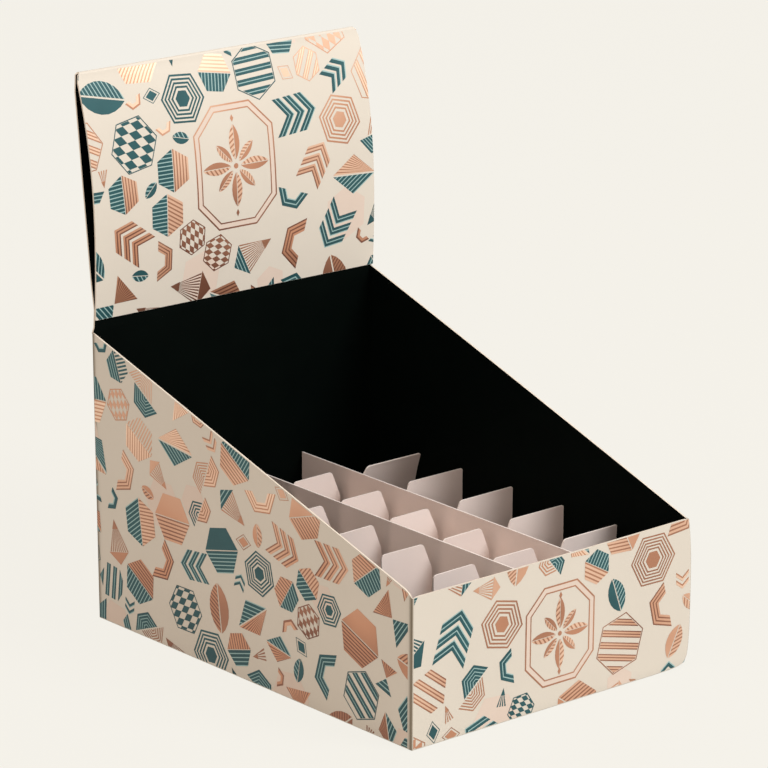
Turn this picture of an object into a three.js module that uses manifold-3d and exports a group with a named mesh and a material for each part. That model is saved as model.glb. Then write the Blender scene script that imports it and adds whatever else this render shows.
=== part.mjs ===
// Counter display box: a folded carton with a low front, diagonal side tops and a tall header,
// and an egg-crate insert of seven slotted cards that keeps small goods upright.
// Millimetres, +Z up, the front faces -Y. The origin is the centre of the base's underside.
import * as THREE from "three";
import { mergeVertices } from "three/addons/utils/BufferGeometryUtils.js";
import Module from "manifold-3d";

// Carton, outside sizes
const BOX_WIDTH = 112;
const BOX_DEPTH = 150.5;
const FRONT_HEIGHT = 48;
const REAR_HEIGHT = 95;
const BOARD = 0.5; // thickness of the coated board
const CORNER_RADIUS = 1.0; // outside of an upright fold
const BASE_FOLD_RADIUS = 0.7; // outside of the folds round the base
const FRONT_CORNER_RUN = 1.8; // each side's top edge drops to the front over this last stretch
const FRONT_CORNER_DROP = 1.2; // and this much of its height is left where the drop begins

// Header: the back wall carried on upwards, folded over and brought down in front
const HEADER_TOP = 174.2;
const HEADER_SETBACK = 8.2; // how far its top lies behind the back wall
const HEADER_HEM = 97.2; // height of the front layer's free edge
const HEM_SETBACK = 0.2; // that edge behind the inside of the back wall
const HEADER_FOLD_RADIUS = 0.6; // middle of the board round the top fold
const HEADER_BELLY = 0.9; // how far the front layer bulges forward
const HEADER_STEPS = 18;
const FOLD_STEPS = 6;

// Insert
const CARD = 0.5; // thickness of its card
const CARD_HEIGHT = 37;
const SEAT_GAP = 0.3; // to the base and the walls
const SLOT_CLEARANCE = 0.3; // each side of a card in a slot, and above it
const FIRST_LONG_X = 59.2; // from the outside of the left wall
const LONG_PITCH = 23.6;
const LONG_COUNT = 2;
const FIRST_CROSS_Y = 32.2; // from the outside of the front wall
const CROSS_PITCH = 23.9;
const CROSS_COUNT = 5;
const CROSS_LEFT_X = 36.3; // their free ends, from the outside of the left wall
const FUNNEL_DEPTH = 8.5; // the slots widen towards the top over this depth
const FUNNEL_RUN = 3.6; // by this much to each side
const THROAT = 2.2; // slack beside the long card below the funnel
const MIDDLE_BEVEL = 1.6; // where a tab stands close to the long card on its left
const TAB_CORNER = 1.4; // cut corner at the top of a tab's free end

const wasm = await Module();
wasm.setup();

// A geometry as a manifold-3d solid.
function solidOf(geometry) {
  const bare = geometry.clone();
  bare.deleteAttribute("normal");
  bare.deleteAttribute("uv");
  const merged = mergeVertices(bare, 1e-4);
  const mesh = new wasm.Mesh({
    numProp: 3,
    vertProperties: merged.attributes.position.array,
    triVerts: new Uint32Array(merged.index.array),
  });
  return new wasm.Manifold(mesh);
}

// A manifold-3d solid as a flat-shaded geometry.
function geometryOf(solid) {
  const mesh = solid.getMesh();
  const indexed = new THREE.BufferGeometry();
  indexed.setAttribute("position", new THREE.BufferAttribute(mesh.vertProperties, 3));
  indexed.setIndex(new THREE.BufferAttribute(mesh.triVerts, 1));
  const geometry = indexed.toNonIndexed();
  geometry.computeVertexNormals();
  return geometry;
}

// A rectangle about the origin with round corners.
function roundedRectangle(width, depth, radius) {
  const x = width / 2;
  const y = depth / 2;
  const shape = new THREE.Shape();
  shape.moveTo(-x + radius, -y);
  shape.lineTo(x - radius, -y);
  shape.absarc(x - radius, -y + radius, radius, -Math.PI / 2, 0);
  shape.lineTo(x, y - radius);
  shape.absarc(x - radius, y - radius, radius, 0, Math.PI / 2);
  shape.lineTo(-x + radius, y);
  shape.absarc(-x + radius, y - radius, radius, Math.PI / 2, Math.PI);
  shape.lineTo(-x, -y + radius);
  shape.absarc(-x + radius, -y + radius, radius, Math.PI, 1.5 * Math.PI);
  return shape;
}

// An upright box with round corners and a round lower edge, from z = bottom to z = top.
function tub(width, depth, bottom, top, cornerRadius, edgeRadius) {
  const inset = roundedRectangle(
    width - 2 * edgeRadius,
    depth - 2 * edgeRadius,
    cornerRadius - edgeRadius,
  );
  const geometry = new THREE.ExtrudeGeometry(inset, {
    depth: top - bottom - 2 * edgeRadius,
    curveSegments: 4,
    bevelThickness: edgeRadius,
    bevelSize: edgeRadius,
    bevelSegments: 3,
  });
  geometry.translate(0, 0, bottom + edgeRadius);
  return geometry;
}

// A plate whose outline is drawn in the YZ plane and which runs along X, centred on x = 0.
function plateAlongX(outline, length) {
  const geometry = new THREE.ExtrudeGeometry(outline, { depth: length, bevelEnabled: false });
  const toYZ = new THREE.Matrix4().makeBasis(
    new THREE.Vector3(0, 1, 0),
    new THREE.Vector3(0, 0, 1),
    new THREE.Vector3(1, 0, 0),
  );
  geometry.applyMatrix4(toYZ);
  geometry.translate(-length / 2, 0, 0);
  return geometry;
}

// A plate whose outline is drawn in the XZ plane, centred on y = 0.
function plateAlongY(outline, length) {
  const geometry = new THREE.ExtrudeGeometry(outline, { depth: length, bevelEnabled: false });
  geometry.rotateX(Math.PI / 2);
  geometry.translate(0, length / 2, 0);
  return geometry;
}

// The outline of a sheet of one thickness that follows a line of points.
function sheetOutline(middle, thickness) {
  const sides = [1, -1].map((side) =>
    middle.map((point, i) => {
      const before = middle[Math.max(i - 1, 0)];
      const after = middle[Math.min(i + 1, middle.length - 1)];
      const along = after.clone().sub(before).normalize();
      const across = new THREE.Vector2(-along.y, along.x);
      return point.clone().addScaledVector(across, (side * thickness) / 2);
    }),
  );
  return new THREE.Shape([...sides[0], ...sides[1].reverse()]);
}

const frontY = -BOX_DEPTH / 2;
const backY = BOX_DEPTH / 2;
const leftX = -BOX_WIDTH / 2;
const rightX = BOX_WIDTH / 2;

// Base and four walls, cut along the sides' diagonals.
function trayWalls() {
  const innerRadius = CORNER_RADIUS - BOARD;
  const innerFold = Math.max(BASE_FOLD_RADIUS - BOARD, 0.1);
  const outside = tub(BOX_WIDTH, BOX_DEPTH, 0, HEADER_TOP, CORNER_RADIUS, BASE_FOLD_RADIUS);
  const inside = tub(
    BOX_WIDTH - 2 * BOARD,
    BOX_DEPTH - 2 * BOARD,
    BOARD,
    HEADER_TOP + BOX_DEPTH,
    innerRadius,
    innerFold,
  );
  const above = new THREE.Shape();
  above.moveTo(frontY - BOX_DEPTH, FRONT_HEIGHT);
  above.lineTo(frontY + BOARD, FRONT_HEIGHT);
  above.lineTo(frontY + FRONT_CORNER_RUN, FRONT_HEIGHT + FRONT_CORNER_DROP);
  above.lineTo(backY, REAR_HEIGHT);
  above.lineTo(backY + BOX_DEPTH, REAR_HEIGHT);
  above.lineTo(backY + BOX_DEPTH, 2 * HEADER_TOP);
  above.lineTo(frontY - BOX_DEPTH, 2 * HEADER_TOP);
  const cut = solidOf(plateAlongX(above, 2 * BOX_WIDTH));
  return solidOf(outside).subtract(solidOf(inside)).subtract(cut);
}

// The header's sheet, from low in the back wall over the top fold to the free edge in front.
function headerSheet() {
  const wallY = backY - BOARD / 2;
  const foldY = backY + HEADER_SETBACK;
  const foldZ = HEADER_TOP - BOARD / 2 - HEADER_FOLD_RADIUS;
  const hemY = backY - BOARD * 1.5 + HEM_SETBACK;
  const middle = [new THREE.Vector2(wallY, FRONT_HEIGHT), new THREE.Vector2(wallY, REAR_HEIGHT)];
  for (let i = 0; i <= FOLD_STEPS; i += 1) {
    const turn = (Math.PI * i) / FOLD_STEPS;
    middle.push(
      new THREE.Vector2(
        foldY + HEADER_FOLD_RADIUS * Math.cos(turn),
        foldZ + HEADER_FOLD_RADIUS * Math.sin(turn),
      ),
    );
  }
  const startY = foldY - HEADER_FOLD_RADIUS;
  for (let i = 1; i <= HEADER_STEPS; i += 1) {
    const share = 1 - i / HEADER_STEPS;
    const lean = (startY - hemY) * share ** 3;
    const belly = HEADER_BELLY * Math.sin(Math.PI * share);
    middle.push(
      new THREE.Vector2(hemY + lean - belly, HEADER_HEM + (foldZ - HEADER_HEM) * share),
    );
  }
  return solidOf(plateAlongX(sheetOutline(middle, BOARD), BOX_WIDTH));
}

const cardBottom = BOARD + SEAT_GAP;
const cardTop = cardBottom + CARD_HEIGHT;
const slotEnd = cardBottom + CARD_HEIGHT / 2; // half the height is slotted in each card
const innerFrontY = frontY + BOARD + SEAT_GAP;
const innerBackY = backY - BOARD - SEAT_GAP;
const innerRightX = rightX - BOARD - SEAT_GAP;
const longX = Array.from({ length: LONG_COUNT }, (_, i) => leftX + FIRST_LONG_X + i * LONG_PITCH);
const crossY = Array.from({ length: CROSS_COUNT }, (_, i) => frontY + FIRST_CROSS_Y + i * CROSS_PITCH);

// A card from front to back, slotted from below at each cross card.
function longCard() {
  const halfSlot = CARD / 2 + SLOT_CLEARANCE;
  const outline = new THREE.Shape();
  outline.moveTo(innerFrontY, cardBottom);
  crossY.forEach((y) => {
    outline.lineTo(y - halfSlot, cardBottom);
    outline.lineTo(y - halfSlot, slotEnd + SLOT_CLEARANCE / 2);
    outline.lineTo(y + halfSlot, slotEnd + SLOT_CLEARANCE / 2);
    outline.lineTo(y + halfSlot, cardBottom);
  });
  outline.lineTo(innerBackY, cardBottom);
  outline.lineTo(innerBackY, cardTop);
  outline.lineTo(innerFrontY, cardTop);
  return plateAlongX(outline, CARD);
}

// A card from left to right, slotted from above at each long card, each slot with a funnel mouth.
// The tab right of a long card stands close to it, except the last, which has a funnel too.
function crossCard() {
  const near = CARD / 2 + SLOT_CLEARANCE;
  const throat = near + THROAT;
  const low = slotEnd - SLOT_CLEARANCE / 2;
  const outline = new THREE.Shape();
  outline.moveTo(leftX + CROSS_LEFT_X, cardBottom);
  outline.lineTo(innerRightX, cardBottom);
  outline.lineTo(innerRightX, cardTop);
  [...longX].reverse().forEach((x, i) => {
    if (i === 0) {
      outline.lineTo(x + throat + FUNNEL_RUN, cardTop);
      outline.lineTo(x + throat, cardTop - FUNNEL_DEPTH);
      outline.lineTo(x + throat, low);
    } else {
      outline.lineTo(x + near + MIDDLE_BEVEL, cardTop);
      outline.lineTo(x + near, cardTop - MIDDLE_BEVEL);
      outline.lineTo(x + near, low);
    }
    outline.lineTo(x - throat, low);
    outline.lineTo(x - throat, cardTop - FUNNEL_DEPTH);
    outline.lineTo(x - throat - FUNNEL_RUN, cardTop);
  });
  outline.lineTo(leftX + CROSS_LEFT_X + TAB_CORNER, cardTop);
  outline.lineTo(leftX + CROSS_LEFT_X, cardTop - TAB_CORNER);
  return plateAlongY(outline, CARD);
}

const boardMaterial = new THREE.MeshStandardMaterial({ color: 0xe4d8c6, roughness: 0.55, metalness: 0 });
const cardMaterial = new THREE.MeshStandardMaterial({ color: 0xddd0c5, roughness: 0.85, metalness: 0 });

const displayBox = new THREE.Group();

const carton = new THREE.Mesh(geometryOf(trayWalls().add(headerSheet())), boardMaterial.clone());
carton.name = "carton";
displayBox.add(carton);

const insert = new THREE.Group();
const longNames = ["long_divider_left", "long_divider_right"];
longX.forEach((x, i) => {
  const card = new THREE.Mesh(longCard(), cardMaterial.clone());
  card.name = longNames[i] ?? `long_divider_${i + 1}`;
  card.position.x = x;
  insert.add(card);
});
crossY.forEach((y, i) => {
  const card = new THREE.Mesh(crossCard(), cardMaterial.clone());
  card.name = `cross_card_${i + 1}`;
  card.position.y = y;
  insert.add(card);
});
displayBox.add(insert);

export default displayBox;
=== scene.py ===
"""Looks of the counter display box: its folded printed board, the card insert and a plain pale studio.

Lengths are in millimetres until a mesh is made, and the frame is the part's own: the origin at the
centre of the base's underside, the low front facing -Y and +Z up.
"""

from __future__ import annotations

import logging
import math
from dataclasses import dataclass, field
from enum import Enum
from typing import Callable, Sequence

import bmesh
import bpy
import numpy as np
from mathutils import Matrix, Vector

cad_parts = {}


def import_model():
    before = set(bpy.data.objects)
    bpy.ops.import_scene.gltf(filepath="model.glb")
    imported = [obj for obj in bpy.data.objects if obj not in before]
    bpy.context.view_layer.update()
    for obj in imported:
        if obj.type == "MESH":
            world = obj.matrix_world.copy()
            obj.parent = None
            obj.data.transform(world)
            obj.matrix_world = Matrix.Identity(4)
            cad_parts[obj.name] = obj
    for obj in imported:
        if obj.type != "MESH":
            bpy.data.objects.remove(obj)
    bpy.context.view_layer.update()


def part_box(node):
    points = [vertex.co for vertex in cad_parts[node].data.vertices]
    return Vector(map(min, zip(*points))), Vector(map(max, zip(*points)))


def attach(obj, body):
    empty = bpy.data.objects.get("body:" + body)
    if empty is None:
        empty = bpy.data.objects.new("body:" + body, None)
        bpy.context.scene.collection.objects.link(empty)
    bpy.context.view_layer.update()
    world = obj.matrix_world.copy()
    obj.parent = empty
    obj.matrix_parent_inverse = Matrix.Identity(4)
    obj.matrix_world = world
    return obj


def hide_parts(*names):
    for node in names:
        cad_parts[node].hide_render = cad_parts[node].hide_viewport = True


LOG = logging.getLogger("counter_display_box")
MM = 0.001
BODY = "root"
Colour = tuple[float, float, float]
LONG_CARDS = ("long_divider_left", "long_divider_right")
CROSS_CARDS = tuple(f"cross_card_{k}" for k in range(1, 6))
NOISE_SPAN = (0.3, 0.7)
SAME_PLACE = 1e-6


# Shader building


@dataclass(frozen=True)
class Value:
    """An output socket whose arithmetic adds Math nodes to its tree."""

    socket: bpy.types.NodeSocket

    def _math(self, operation: str, *operands: "Value | float", clamp: bool = False) -> "Value":
        """Adds a Math node.

        Args:
            operation: the node's operation.
            operands: its inputs in order, sockets or numbers.
            clamp: whether the result is kept between 0 and 1.

        Returns:
            The node's result.
        """
        settings = {"operation": operation, "use_clamp": clamp}
        node = add_node(self.socket.id_data, "ShaderNodeMath", settings, dict(enumerate(operands)))
        return Value(node.outputs[0])

    def __add__(self, other: "Value | float") -> "Value":
        """Sum."""
        return self._math("ADD", self, other)

    def __radd__(self, other: float) -> "Value":
        """Sum with a number on the left."""
        return self._math("ADD", other, self)

    def __sub__(self, other: "Value | float") -> "Value":
        """Difference."""
        return self._math("SUBTRACT", self, other)

    def __rsub__(self, other: float) -> "Value":
        """Difference from a number on the left."""
        return self._math("SUBTRACT", other, self)

    def __mul__(self, other: "Value | float") -> "Value":
        """Product."""
        return self._math("MULTIPLY", self, other)

    def __rmul__(self, other: float) -> "Value":
        """Product with a number on the left."""
        return self._math("MULTIPLY", other, self)

    def clamped(self) -> "Value":
        """The value kept between 0 and 1."""
        return self._math("ADD", self, 0.0, clamp=True)

    def step(self, low: float, high: float) -> "Value":
        """A straight ramp from 0 at low to 1 at high, flat outside."""
        return self._math("MULTIPLY", self - low, 1.0 / (high - low), clamp=True)


def feed(socket: bpy.types.NodeSocket, value: object) -> None:
    """Links an input to a value's source, or sets the number or colour that it holds.

    Args:
        socket: the input socket.
        value: a Value, an output socket, a number or a colour.
    """
    source = value.socket if isinstance(value, Value) else value
    if isinstance(source, bpy.types.NodeSocket):
        socket.id_data.links.new(source, socket)
    else:
        socket.default_value = (*source, 1.0) if isinstance(source, tuple) else source


def add_node(
    tree: bpy.types.NodeTree, kind: str, settings: dict[str, object], inputs: dict[str | int, object]
) -> bpy.types.Node:
    """Adds one node.

    Args:
        tree: the tree that it goes into.
        kind: the node's type name.
        settings: attributes set first, such as a Math node's operation.
        inputs: values or links of its sockets, by name or place.

    Returns:
        The new node.
    """
    made = tree.nodes.new(kind)
    for key, value in settings.items():
        setattr(made, key, value)
    for key, value in inputs.items():
        feed(made.inputs[key], value)
    return made


def showing(tree: bpy.types.NodeTree) -> Value:
    """1 for rays that show their target: the camera's, and those off shiny or through clear faces.

    Args:
        tree: the tree that the nodes go into.

    Returns:
        The value, 0 for every other ray.
    """
    rays = add_node(tree, "ShaderNodeLightPath", {}, {}).outputs
    camera, glossy, clear = (Value(rays[f"Is {kind} Ray"]) for kind in ("Camera", "Glossy", "Transmission"))
    return (camera + glossy + clear).clamped()


class Shader:
    """A material's node tree with a Principled shader and short ways to feed it."""

    def __init__(self, name: str) -> None:
        """Makes an empty material of that name.

        Args:
            name: the material's name.
        """
        self.material = bpy.data.materials.new(name)
        self.material.use_nodes = True
        self.tree = self.material.node_tree
        self.principled = self.tree.nodes["Principled BSDF"]
        self.output = self.tree.nodes["Material Output"]
        self.coordinates = self.node("ShaderNodeTexCoord", {}, {}).outputs["Object"]

    def node(
        self, kind: str, settings: dict[str, object], inputs: dict[str | int, object]
    ) -> bpy.types.Node:
        """Adds one node to the material's tree, as add_node does."""
        return add_node(self.tree, kind, settings, inputs)

    def noise(self, size: float, detail: float = 2.0) -> Value:
        """Noise whose values nearly all lie in NOISE_SPAN.

        Args:
            size: length of one blotch in millimetres.
            detail: how many finer octaves it has.

        Returns:
            The noise's factor.
        """
        inputs = {"Vector": self.coordinates, "Scale": 1.0 / (size * MM), "Detail": detail}
        made = self.node("ShaderNodeTexNoise", {"noise_dimensions": "3D"}, inputs)
        return Value(made.outputs[0])

    def attribute(self, name: str) -> Value:
        """The piece's own attribute of that name, as a number."""
        node = self.node("ShaderNodeAttribute", {"attribute_name": name}, {})
        return Value(node.outputs["Fac"])

    def mix(self, factor: "Value | float", first: object, second: object) -> bpy.types.NodeSocket:
        """Mixes two colours.

        Args:
            factor: the share of the second.
            first: a colour or a socket.
            second: a colour or a socket.

        Returns:
            The mixed colour's socket.
        """
        node = self.node("ShaderNodeMix", {"data_type": "RGBA"}, {"Factor": factor})
        for socket, value in zip((s for s in node.inputs if s.type == "RGBA"), (first, second)):
            feed(socket, value)
        return next(s for s in node.outputs if s.type == "RGBA")

    def bump(self, height: Value, depth: float, strength: float = 1.0) -> None:
        """Feeds the shader's normal with a height map.

        Args:
            height: the height between 0 and 1.
            depth: how deep 1 is, in millimetres.
            strength: share of the bump that is used.
        """
        inputs = {"Strength": strength, "Distance": depth * MM, "Height": height}
        feed(self.principled.inputs["Normal"], self.node("ShaderNodeBump", {}, inputs).outputs[0])

    def set(self, **inputs: object) -> None:
        """Sets or links the shader's own sockets, by name with _ for a space."""
        for key, value in inputs.items():
            feed(self.principled.inputs[key.replace("_", " ")], value)


def swinging(texture: Value, middle: float, swing: float) -> Value:
    """A roughness that swings about its middle with a texture."""
    return (texture * swing + (middle - swing / 2)).clamped()


@dataclass(frozen=True)
class Paperboard:
    """Matt or coated board: a colour with faint mottle, fibres that raise its face a little, and painted
    shade, darker and browner, along the folds that its mesh marks.
    """

    name: str
    light: Colour
    dark: Colour
    roughness: float
    mottle: float
    fibre: float
    fibre_depth: float
    specular: float = 0.35
    mottle_share: float = 0.65
    roughness_swing: float = 0.16
    fibre_strength: float = 0.6
    fold_shade_tint: Colour = (0.27, 0.235, 0.18)

    def make(self) -> bpy.types.Material:
        """Builds the material.

        Returns:
            The new material.
        """
        shader = Shader(self.name)
        blotches = shader.noise(self.mottle, detail=3.0).step(*NOISE_SPAN)
        fibres = shader.noise(self.fibre, detail=4.0)
        shade = (blotches * self.mottle_share + fibres * (1 - self.mottle_share)).clamped()
        # Painted shade: the board turns darker and browner towards its folds, where the rounded corner
        # turns away from the light.
        painted_fold_shade = tuple(c * tint for c, tint in zip(self.dark, self.fold_shade_tint))
        fold_shade_share = shader.attribute("fold_shade").clamped()
        shader.set(
            Base_Color=shader.mix(fold_shade_share, shader.mix(shade, self.dark, self.light), painted_fold_shade),
            Roughness=swinging(fibres, self.roughness, self.roughness_swing),
            Specular_IOR_Level=self.specular,
        )
        shader.bump(fibres, self.fibre_depth, self.fibre_strength)
        return shader.material


@dataclass(frozen=True)
class Foil:
    """Hot-stamped metal foil, paler or darker from figure to figure and across each one, its base colour
    carrying painted reflection.
    """

    name: str
    dark: Colour
    middle: Colour
    pale: Colour
    roughness: float
    metallic: float
    drift: float = 26.0
    drift_span: tuple[float, float] = (0.32, 0.68)
    drift_swing: float = 0.24
    grain: float = 0.35
    grain_depth: float = 0.012
    roughness_swing: float = 0.2

    def make(self) -> bpy.types.Material:
        """Builds the material.

        Returns:
            The new material.
        """
        shader = Shader(self.name)
        # Painted reflection: the tone pales the foil towards each panel's top, and the sweep pales or
        # darkens it across the figures; the tone also holds the print's dark and pale lines.
        tone = shader.attribute("tone")
        painted_reflection_sweep = shader.noise(self.drift, detail=1.0).step(*self.drift_span)
        grain = shader.noise(self.grain, detail=3.0)
        level = (tone + painted_reflection_sweep * self.drift_swing - self.drift_swing / 2).clamped()
        lower = shader.mix(level.step(0.0, 0.5), self.dark, self.middle)
        colour = shader.mix(level.step(0.5, 1.0), lower, self.pale)
        shader.set(
            Base_Color=colour,
            Metallic=self.metallic,
            Roughness=swinging(grain, self.roughness, self.roughness_swing),
        )
        shader.bump(grain, self.grain_depth, 0.35)
        return shader.material


@dataclass(frozen=True)
class Ink:
    """Flat printing ink with the board's fibre just showing through, lighter or darker with its tone, which
    carries painted light rising from each panel's foot to its top.
    """

    name: str
    light: Colour
    dark: Colour
    roughness: float
    cloud: float = 9.0
    tone_share: float = 0.6
    fibre: float = 0.4
    fibre_depth: float = 0.015
    roughness_swing: float = 0.2

    def make(self) -> bpy.types.Material:
        """Builds the material.

        Returns:
            The new material.
        """
        shader = Shader(self.name)
        cloud = shader.noise(self.cloud).step(*NOISE_SPAN)
        fibres = shader.noise(self.fibre, detail=3.0)
        # The tone carries painted light that rises from each panel's foot to its top.
        shade = shader.attribute("tone") * self.tone_share + cloud * (1 - self.tone_share)
        shader.set(
            Base_Color=shader.mix(shade.clamped(), self.dark, self.light),
            Roughness=swinging(fibres, self.roughness, self.roughness_swing),
            Specular_IOR_Level=0.4,
        )
        shader.bump(fibres, self.fibre_depth, 0.4)
        return shader.material


COATED = Paperboard("coated_board", (0.755, 0.68, 0.573), (0.725, 0.652, 0.547), 0.5, 24.0, 0.5, 0.02)
CUT_EDGE = Paperboard("cut_edge", (0.84, 0.75, 0.63), (0.72, 0.62, 0.50), 0.8, 3.0, 0.3, 0.05, 0.2)
LINING = Paperboard(
    "black_lining", (0.0011, 0.0026, 0.0019), (0.0006, 0.0016, 0.0012), 0.62, 12.0, 0.5, 0.02, 0.03
)
INSERT = Paperboard("insert_card", (0.89, 0.755, 0.685), (0.84, 0.705, 0.635), 0.85, 14.0, 0.45, 0.03, 0.2)
INSERT_EDGE = Paperboard("insert_edge", (0.95, 0.86, 0.80), (0.89, 0.79, 0.72), 0.85, 4.0, 0.3, 0.03, 0.2)
COPPER = Foil("copper_foil", (0.17, 0.058, 0.032), (0.60, 0.285, 0.165), (0.94, 0.67, 0.49), 0.38, 0.5)
TEAL = Ink("teal_ink", (0.016, 0.105, 0.115), (0.005, 0.05, 0.057), 0.42)
MIST = Ink("mist_ink", (0.40, 0.56, 0.53), (0.30, 0.47, 0.45), 0.45)
BLUSH = Ink("blush_ink", (0.78, 0.635, 0.525), (0.75, 0.60, 0.49), 0.5)


# Mesh building


def quads_of_grid(rows: int, columns: int, closed: bool = False) -> np.ndarray:
    """Corners of the quads of a grid whose point (i, j) has the number i * columns + j.

    Args:
        rows: how many rows of points.
        columns: how many points in a row.
        closed: whether each row joins its own start.

    Returns:
        An array of four corner numbers for each quad.
    """
    i, j = np.meshgrid(np.arange(rows - 1), np.arange(columns - (not closed)), indexing="ij")
    after = (j + 1) % columns
    corners = (i * columns + j, i * columns + after, (i + 1) * columns + after, (i + 1) * columns + j)
    return np.stack(corners, -1).reshape(-1, 4)


def add_to_scene(mesh: bpy.types.Mesh) -> bpy.types.Object:
    """Makes a piece of the box from a mesh, at the origin.

    Args:
        mesh: the piece's mesh.

    Returns:
        The new object.
    """
    piece = bpy.data.objects.new(mesh.name, mesh)
    bpy.context.scene.collection.objects.link(piece)
    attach(piece, BODY)
    LOG.info("%s: %d polygons", mesh.name, len(mesh.polygons))
    return piece


def mend(mesh: bpy.types.Mesh, reach: float) -> None:
    """Merges a mesh's points that lie within reach metres and points its faces outwards.

    Args:
        mesh: the mesh, smooth afterwards.
        reach: how close two points are merged, in metres.
    """
    work = bmesh.new()
    work.from_mesh(mesh)
    bmesh.ops.remove_doubles(work, verts=work.verts, dist=reach)
    bmesh.ops.recalc_face_normals(work, faces=work.faces)
    work.to_mesh(mesh)
    work.free()
    mesh.polygons.foreach_set("use_smooth", np.ones(len(mesh.polygons), bool))


class Skin(Enum):
    """The three faces that a cut sheet shows, in the order of the carton's finishes."""

    OUTSIDE = 0
    INSIDE = 1
    EDGE = 2


@dataclass
class Shell:
    """Points and faces gathered into one closed mesh, each run of faces with a finish."""

    name: str
    points: list[np.ndarray] = field(default_factory=list)
    fold_shades: list[np.ndarray] = field(default_factory=list)
    faces: list[list[int]] = field(default_factory=list)
    finish: list[int] = field(default_factory=list)
    count: int = 0
    sharp_angle: float = 32.0

    def add_points(self, points: np.ndarray, fold_shade: np.ndarray | float = 0.0) -> int:
        """Adds points (..., 3) in millimetres.

        Args:
            points: the points.
            fold_shade: the painted shade of each where a side wall turns at a fold, from 0 to 1, in the
                points' own shape.

        Returns:
            The number of the first point.
        """
        start = self.count
        self.points.append(points.reshape(-1, 3))
        self.fold_shades.append(np.broadcast_to(fold_shade, points.shape[:-1]).reshape(-1))
        self.count += len(self.points[-1])
        return start

    def add_faces(self, faces: np.ndarray, finish: int) -> None:
        """Adds faces, an array with one row of corner numbers each, in one finish."""
        self.faces.extend(faces.tolist())
        self.finish.extend([finish] * len(faces))

    def add_strip(self, first: np.ndarray, second: np.ndarray) -> None:
        """Adds the cut edge between two lines of points, given by their numbers."""
        self.add_faces(np.stack([first[:-1], first[1:], second[1:], second[:-1]], -1), Skin.EDGE.value)

    def make(self, materials: Sequence[bpy.types.Material]) -> bpy.types.Mesh:
        """Makes the mesh, merges its seams and points its faces outwards.

        Args:
            materials: the finishes in the order that the faces name them.

        Returns:
            The new mesh.
        """
        mesh = bpy.data.meshes.new(self.name)
        mesh.from_pydata((np.concatenate(self.points) * MM).tolist(), [], self.faces)
        for material in materials:
            mesh.materials.append(material)
        mesh.polygons.foreach_set("material_index", np.array(self.finish, np.int32))
        # Painted shade along the folds, which the board's colour reads from this attribute.
        painted_fold_shade = mesh.attributes.new("fold_shade", "FLOAT", "POINT")
        painted_fold_shade.data.foreach_set("value", np.concatenate(self.fold_shades).astype(np.float32))
        mend(mesh, 1e-6)
        mesh.set_sharp_from_angle(angle=math.radians(self.sharp_angle))
        return mesh


# The carton


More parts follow.
